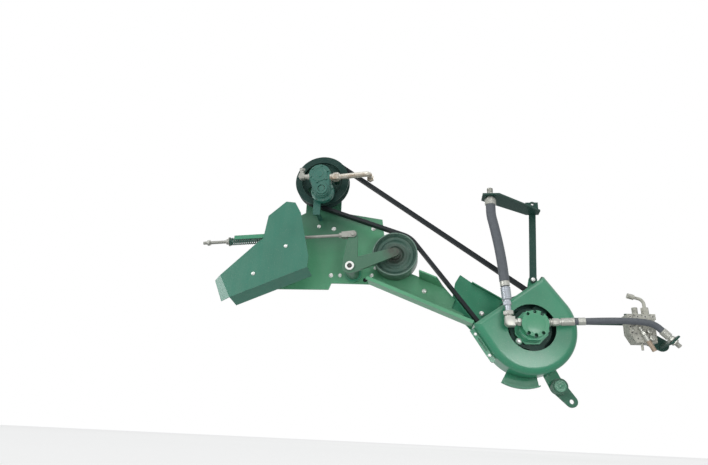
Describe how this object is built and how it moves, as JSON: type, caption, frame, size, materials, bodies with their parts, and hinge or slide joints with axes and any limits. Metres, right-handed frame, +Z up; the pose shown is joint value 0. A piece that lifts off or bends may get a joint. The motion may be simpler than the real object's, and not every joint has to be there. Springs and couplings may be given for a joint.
{
  "type": "hydraulic belt drive of a combine harvester",
  "caption": "Belt drive off a harvester's side: motor-driven sheave in a round-windowed guard, sprung idler arm, upper pulley and unit, channel beam and wedge cover.",
  "frame": {"origin": "middle of the four wall bolts, on the rear face of the side plate", "axes": "+X to the right as the bay is looked into, +Y into the machine, +Z up"},
  "size_m": [1.708, 0.212, 0.971],
  "materials": {
    "green_paint": "gloss enamel, sun-faded and dusty",
    "dark_green_paint": "gloss enamel on castings",
    "zinc_steel": "pale zinc plate",
    "yellow_zinc": "yellowish zinc plate",
    "bare_steel": "turned steel, oiled",
    "valve_metal": "dull cast and milled",
    "hose_rubber": "matt hose cover",
    "belt_rubber": "matt belt cloth and rubber"
  },
  "bodies": {
    "frame": {"side_plate": "green_paint", "guard_back_plate": "green_paint", "drive_guard": "green_paint", "guard_strip": "green_paint", "channel_beam": "green_paint", "belt": "belt_rubber", "lower_bearing": "dark_green_paint", "upper_bearing": "dark_green_paint", "motor_carrier": "dark_green_paint", "motor_housing": "dark_green_paint", "motor_cap": "dark_green_paint", "left_elbow": "zinc_steel", "up_hose_end": "zinc_steel", "up_hose": "hose_rubber", "up_bulkhead": "zinc_steel", "side_hose_end": "zinc_steel", "side_hose": "hose_rubber", "side_bulkhead": "zinc_steel", "upright_strap": "green_paint", "hose_shelf": "green_paint", "valve_arm": "green_paint", "valve_block": "valve_metal", "lower_leg": "green_paint", "pivot_post": "green_paint", "spring_anchor": "green_paint", "spring": "dark_green_paint", "wedge_cover": "green_paint", "cover_standoffs": "dark_green_paint", "upper_unit": "dark_green_paint", "upper_elbow": "yellow_zinc", "steel_tube": "yellow_zinc", "torque_strap": "dark_green_paint"},
    "sheave": {"drive_sheave": "dark_green_paint", "drive_shaft": "bare_steel"},
    "pulley": {"upper_pulley": "dark_green_paint", "pulley_shaft": "bare_steel"},
    "arm": {"tension_arm": "green_paint"},
    "idler": {"idler_pulley": "green_paint"},
    "rod": {"spring_rod": "zinc_steel", "rod_nuts": "zinc_steel"}
  },
  "joints": [
    {"name": "sheave_spin", "type": "hinge", "parent": "frame", "child": "sheave", "pos_m": [0.66, -0.06, -0.318], "axis": [0, 1, 0], "continuous": true},
    {"name": "pulley_spin", "type": "hinge", "parent": "frame", "child": "pulley", "pos_m": [-0.131, -0.06, 0.286], "axis": [0, 1, 0], "continuous": true},
    {"name": "arm_swing", "type": "hinge", "parent": "frame", "child": "arm", "pos_m": [0.007, -0.112, -0.094], "axis": [0, 1, 0], "range_deg": [0, 10], "stiffness_Nm_per_rad": 60, "springref_deg": -17.19, "deforming": ["spring"]},
    {"name": "idler_spin", "type": "hinge", "parent": "arm", "child": "idler", "pos_m": [0.17665, -0.06, -0.03691], "axis": [0, 1, 0], "continuous": true},
    {"name": "rod_hinge", "type": "hinge", "parent": "arm", "child": "rod", "pos_m": [0.0151, -0.112, 0.03475], "axis": [0, 1, 0], "range_deg": [-9.3, 0.05]}
  ],
  "couplings": [
    {"joint": "pulley_spin", "follows": "sheave_spin", "ratio": 1.1905},
    {"joint": "idler_spin", "follows": "sheave_spin", "ratio": -1.3528},
    {"joint": "rod_hinge", "follows": "arm_swing", "ratio": -0.923}
  ]
}
